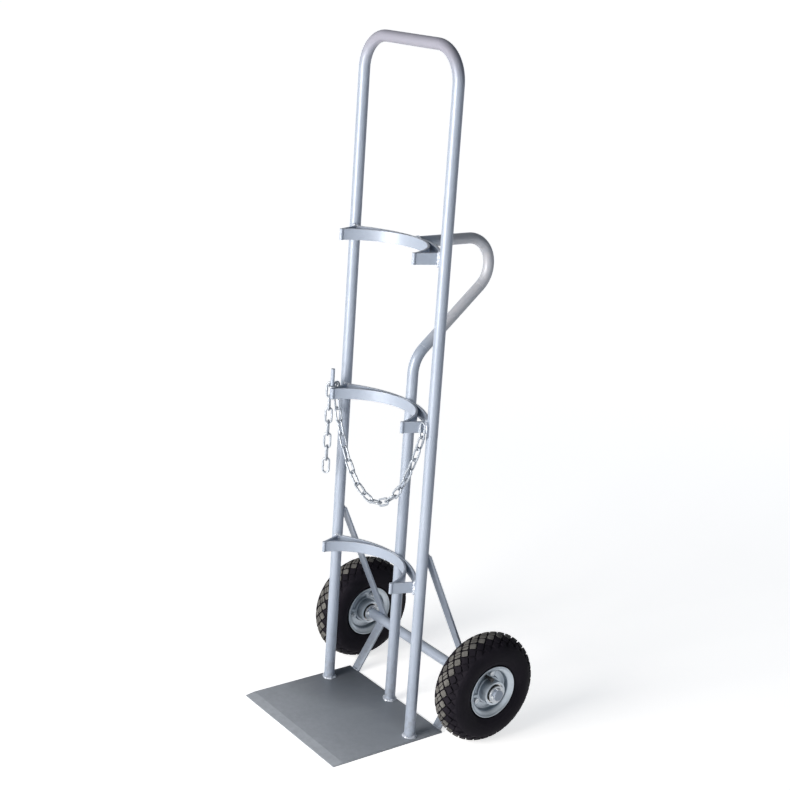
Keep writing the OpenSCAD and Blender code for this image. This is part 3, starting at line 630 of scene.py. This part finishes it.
def rim(side, half, turn):
    out = side * half
    turns = 168

    def web(r, a):
        lobe = 0.0
        for i in range(3):
            b = math.radians(turn + 120 * i)
            far = math.hypot(r * math.cos(a) - bolt_circle * math.cos(b),
                             r * math.sin(a) - bolt_circle * math.sin(b))
            lobe = max(lobe, 1.0 - ease(far, 0.0128, 0.0168))
        collar = 1.0 - ease(r, 0.0308, 0.0338)
        return max(web_level + lobe_rise * lobe, web_level + (collar_level - web_level) * collar)

    verts, faces = [], []
    for i in range(turns):
        a = 2 * math.pi * i / turns
        profile = [(r, web(r, a) + 0.0006 * ease(r, 0.0455, 0.0466)) for r in web_front]
        profile += [*rim_front, *rim_back]
        profile += [(r, web(r, a) - sheet) for r in web_back]
        for r, u in profile:
            verts.append(Vector((side * wheel_x + out * u,
                                 axle_y + r * math.cos(a), axle_z + r * math.sin(a))))
    wide = len(profile)
    for i in range(turns):
        n = (i + 1) % turns
        for k in range(wide):
            m = (k + 1) % wide
            quad = (i * wide + k, i * wide + m, n * wide + m, n * wide + k)
            faces.append(quad if out > 0 else quad[::-1])
    name = "left" if side < 0 else "right"
    kind = "outer" if half > 0 else "inner"
    piece = build("rim_%s_pressing_%s" % (kind, name), verts, faces, [rim_zinc],
                  "wheel_" + name, "zinc_plate", 60.0)
    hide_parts("rim_%s_%s" % (kind, name))


for side, turn in ((1, 86.0), (-1, 70.0)):
    rim(side, 1, turn)
    rim(side, -1, turn)

# Hubs and bearings: a steel tube through both pressings, zinc plated like them, with a sealed
# ball bearing pressed into each end a little below the face.
dress(["hub_left", "hub_right"], rim_zinc)
steel_dark, steel_light = (0.46, 0.46, 0.47), (0.62, 0.62, 0.63)
bearing_steel, tree, shader, where = material("bearing_steel", Metallic=1.0)
lathe_marks = noise(tree, where, 300.0, 2.0, 0.5, (6.0, 1.0, 1.0))
tone = blend(tree, spread(tree, lathe_marks, 0.3, 0.7), steel_dark, steel_light)
coat(tree, shader, tone, spread(tree, lathe_marks, 0.3, 0.7, 0.18, 0.34))
height(tree, shader, [(lathe_marks, 0.05, 0.0002)])
dress(["bearing_inner_rings", "bearing_outer_rings_left", "bearing_outer_rings_right",
       "bearing_balls_left", "bearing_balls_right"], bearing_steel)

# Rim bolts and nuts, washers on the axle: bright zinc with a faint yellow bloom. The washers on
# both sides of each wheel are held by three puddles of weld each, so the wheel cannot come off.
zinc_dark, zinc_light = (0.50, 0.535, 0.575), (0.64, 0.67, 0.705)
zinc_bloom, zinc_edge = (0.52, 0.51, 0.46), (0.80, 0.81, 0.82)
zinc_plate, tree, shader, where = material("zinc_plate", Metallic=0.65, IOR=1.5)
cloud = noise(tree, where, 120.0, 4.0, 0.6)
bloom = noise(tree, where, 40.0, 2.0)
soft, edge_band = edges(tree, 0.0006)
tone = blend(tree, spread(tree, cloud, 0.35, 0.65), zinc_dark, zinc_light)
tone = blend(tree, spread(tree, bloom, 0.55, 0.70, 0.0, 0.35), tone, zinc_bloom)
tone = blend(tree, edge_band, tone, zinc_edge)
coat(tree, shader, tone, spread(tree, cloud, 0.3, 0.7, 0.22, 0.38))
height(tree, shader, [(cloud, 0.08, 0.0003)], soft)
dress(["inner_washers", "outer_washers", "rim_bolts_left", "rim_bolts_right",
       "rim_nuts_left", "rim_nuts_right"], zinc_plate)

outer_x, inner_x = 0.2922, 0.1938
joints = []
for s in (-1, 1):
    for k, a in enumerate((78, 200, 318)):
        outer_turn, inner_turn = s * (a - 24), s * (a + 10)
        joints.append(ring((s * outer_x, axle_y, axle_z), (s, 0, 0), (0, 1, 0), 0.0136, 0.55,
                           0.0034, 160 + 3 * s + k, 8, (outer_turn, outer_turn + 48)))
        joints.append(ring((s * inner_x, axle_y, axle_z), (-s, 0, 0), (0, 1, 0), 0.0134, 0.5,
                           0.0030, 170 + 3 * s + k, 8, (inner_turn, inner_turn + 42)))
build("axle_washer_welds", *join(joints), [zinc_plate], "frame", "zinc_plate")

# Seals, valves and their caps: moulded black rubber and nylon, satin rather than dull. The seals
# snap into the bearings, and each valve stands in the outer pressing with its cap screwed on.
cap_dark, cap_light, cap_edge = (0.010, 0.010, 0.011), (0.022, 0.022, 0.023), (0.06, 0.06, 0.062)
cap_plastic, tree, shader, where = material("cap_plastic", IOR=1.48)
cloud = noise(tree, where, 180.0, 3.0, 0.6)
soft, edge_band = edges(tree, 0.0005)
tone = blend(tree, spread(tree, cloud, 0.35, 0.65), cap_dark, cap_light)
tone = blend(tree, times(tree, edge_band, 0.6), tone, cap_edge)
coat(tree, shader, tone, spread(tree, cloud, 0.3, 0.7, 0.38, 0.55))
height(tree, shader, [(cloud, 0.10, 0.0003)], soft)
dress(["bearing_seals_left", "bearing_seals_right", "valve_stem_left", "valve_stem_right",
       "valve_cap_left", "valve_cap_right"], cap_plastic)

# Studio: a plain white floor that keeps a soft shadow, a large window-like softbox straight in
# front at chest height, a weak cool one from the right, and a surround that is brightest in front.
half = 80
mesh = bpy.data.meshes.new("floor")
mesh.from_pydata([(-half, -half, 0), (half, -half, 0), (half, half, 0), (-half, half, 0)],
                 [], [(0, 1, 2, 3)])
floor = bpy.data.objects.new("floor", mesh)
bpy.context.scene.collection.objects.link(floor)
floor_white, tree, shader, where = material("floor_white", Roughness=0.9, Specular_IOR_Level=0.1)
shader.inputs["Base Color"].default_value = (0.80, 0.80, 0.80, 1.0)
shader.inputs["Emission Color"].default_value = (1, 1, 1, 1)
path = put(tree, "ShaderNodeLightPath")
seen = times(tree, path.outputs["Is Camera Ray"], path.outputs["Is Glossy Ray"], "MAXIMUM")
apart = put(tree, "ShaderNodeVectorMath", {0: where}, operation="LENGTH").outputs["Value"]
glow = times(tree, seen, spread(tree, apart, 0.4, 4.0, 0.70, 0.92))
tree.links.new(glow, shader.inputs["Emission Strength"])
mesh.materials.append(floor_white)

cool_light, plain_white = (0.80, 0.93, 1.10), (1.0, 1.0, 1.0)
bright_side = (-0.35, -0.93, -0.10)
world = bpy.data.worlds.new("surround")
bpy.context.scene.world = world
world.use_nodes = True
tree = world.node_tree
path = put(tree, "ShaderNodeLightPath")
straight = path.outputs["Is Camera Ray"]
mirrored = times(tree, path.outputs["Is Glossy Ray"], path.outputs["Is Transmission Ray"],
                 "MAXIMUM")
look = put(tree, "ShaderNodeTexCoord").outputs["Generated"]
up = put(tree, "ShaderNodeSeparateXYZ", {"Vector": look}).outputs["Z"]
front = measure(tree, look, bright_side, "DOT_PRODUCT")
even = times(tree, spread(tree, front, -0.6, 0.9, 0.11, 0.36),
             spread(tree, up, 0.1, 0.8, 1.0, 0.60))
white = times(tree, spread(tree, front, -0.9, 0.3, 0.45, 1.0),
              spread(tree, up, 0.15, 0.75, 1.0, 0.25))
level = times(tree, even, times(tree, white, mirrored), "MAXIMUM")
level = times(tree, level, straight, "MAXIMUM")
tint = blend(tree, times(tree, straight, mirrored, "MAXIMUM"), cool_light, plain_white)
tree.links.new(level, tree.nodes["Background"].inputs["Strength"])
tree.links.new(tint, tree.nodes["Background"].inputs["Color"])


def softbox(name, place, target, width, tall, power, colour):
    lamp = bpy.data.lights.new(name, "AREA")
    lamp.shape = "RECTANGLE"
    lamp.size, lamp.size_y, lamp.energy = width, tall, power
    lamp.color = colour
    piece = bpy.data.objects.new(name, lamp)
    bpy.context.scene.collection.objects.link(piece)
    piece.location = place
    piece.rotation_euler = (Vector(target) - Vector(place)).to_track_quat("-Z", "Y").to_euler()


softbox("key_window", (0.25, -2.80, 1.18), (0, 0, 0.85), 1.5, 2.0, 118.0, (1.0, 0.955, 0.905))
softbox("right_fill", (3.9, -0.6, 1.3), (0, 0, 0.7), 1.6, 2.0, 5.0, (0.82, 0.93, 1.0))

# Camera: the photograph's viewpoint, from the front right and a little above the trolley's top,
# looking down at it, without shift. Its focal length is fitted in pixels of a 790 pixel frame.
frame_px, focal_px, sensor_mm = 790.0, 1518.18, 36.0
lens = bpy.data.cameras.new("view")
lens.sensor_fit = "HORIZONTAL"
lens.sensor_width = sensor_mm
lens.lens = focal_px / frame_px * sensor_mm
lens.clip_end = 100.0
camera = bpy.data.objects.new("view", lens)
bpy.context.scene.collection.objects.link(camera)
camera.matrix_world = Matrix(((0.58978, -0.27131, 0.76063, 2.5822),
                              (0.80496, 0.12183, -0.58069, -1.9530),
                              (0.06487, 0.95475, 0.29024, 1.7584),
                              (0.0, 0.0, 0.0, 1.0)))
bpy.context.scene.camera = camera
bpy.context.scene.view_settings.view_transform = "Standard"
